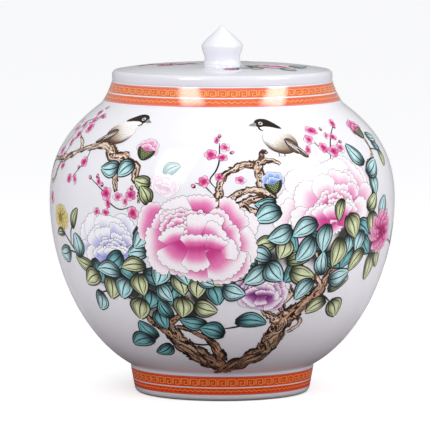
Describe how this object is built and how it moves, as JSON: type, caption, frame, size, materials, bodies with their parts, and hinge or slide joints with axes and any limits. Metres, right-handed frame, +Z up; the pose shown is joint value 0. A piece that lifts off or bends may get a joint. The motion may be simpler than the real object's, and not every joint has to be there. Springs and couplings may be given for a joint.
{
  "type": "ginger jar",
  "caption": "Round-bellied glazed porcelain storage jar on a foot ring, with a flat lift-off lid and a pointed bud knob.",
  "frame": {"origin": "centre of the foot ring, on the surface the jar stands on", "axes": "+Z up along the axis the jar is turned about, -Y towards the painted front"},
  "size_m": [0.26, 0.26, 0.276],
  "materials": {
    "jar_porcelain": "white porcelain under clear glossy glaze, with overglaze enamel decoration",
    "lid_porcelain": "white porcelain under clear glossy glaze",
    "knob_porcelain": "white porcelain under clear glossy glaze"
  },
  "bodies": {
    "jar": {"jar_body": "jar_porcelain"},
    "cover": {"lid": "lid_porcelain", "lid_knob": "knob_porcelain"}
  },
  "joints": [
    {"name": "lid_lift", "type": "slide", "parent": "jar", "child": "cover", "axis": [0, 0, 1], "range_m": [0, 0.04]}
  ]
}
